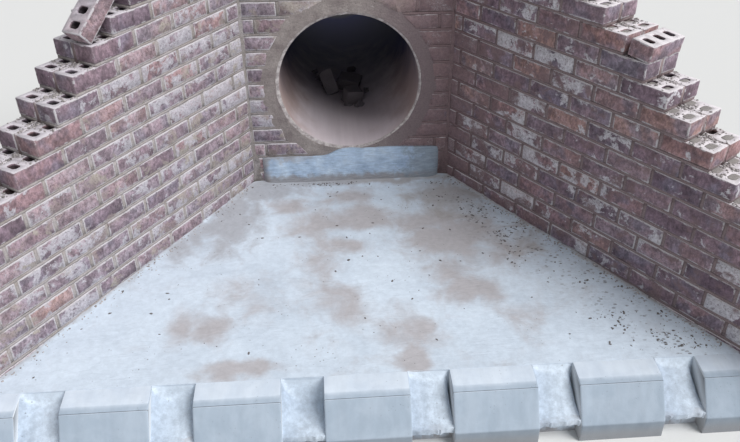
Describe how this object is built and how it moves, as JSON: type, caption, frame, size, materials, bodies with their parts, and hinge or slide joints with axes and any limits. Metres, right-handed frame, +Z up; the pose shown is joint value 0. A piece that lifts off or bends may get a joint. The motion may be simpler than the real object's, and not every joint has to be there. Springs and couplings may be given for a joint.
{
  "type": "culvert headwall",
  "caption": "Brick culvert headwall with a round concrete pipe mouth, splayed wing walls racked down in steps, and a sloped concrete apron edged with kerbs.",
  "frame": {"origin": "foot of the headwall's front face, on the pipe's centre line", "axes": "+X across the channel, +Y into the bank along the pipe, +Z up"},
  "size_m": [3.8137, 4.1872, 1.672],
  "materials": {
    "brick": "rough fired clay",
    "mortar": "rough cement mortar",
    "pipe_concrete": "spun concrete",
    "concrete": "floated concrete, stained",
    "kerb_concrete": "smooth precast concrete"
  },
  "bodies": {
    "root": {"apron_bed": "concrete", "apron_slab": "concrete", "headwall_back_leaf": "brick", "headwall_collar_joint": "mortar", "headwall_front_leaf": "brick", "kerb_1": "kerb_concrete", "kerb_2": "kerb_concrete", "kerb_3": "kerb_concrete", "kerb_4": "kerb_concrete", "kerb_5": "kerb_concrete", "kerb_6": "kerb_concrete", "kerb_7": "kerb_concrete", "leaning_brick": "brick", "left_corner_mortar": "mortar", "left_wing_back_leaf": "brick", "left_wing_collar_joint": "mortar", "left_wing_front_leaf": "brick", "loose_header_bed": "mortar", "loose_header_brick": "brick", "pipe_barrel": "pipe_concrete", "pipe_surround": "mortar", "right_corner_mortar": "mortar", "right_wing_back_leaf": "brick", "right_wing_collar_joint": "mortar", "right_wing_front_leaf": "brick", "sill": "concrete"}
  },
  "joints": []
}
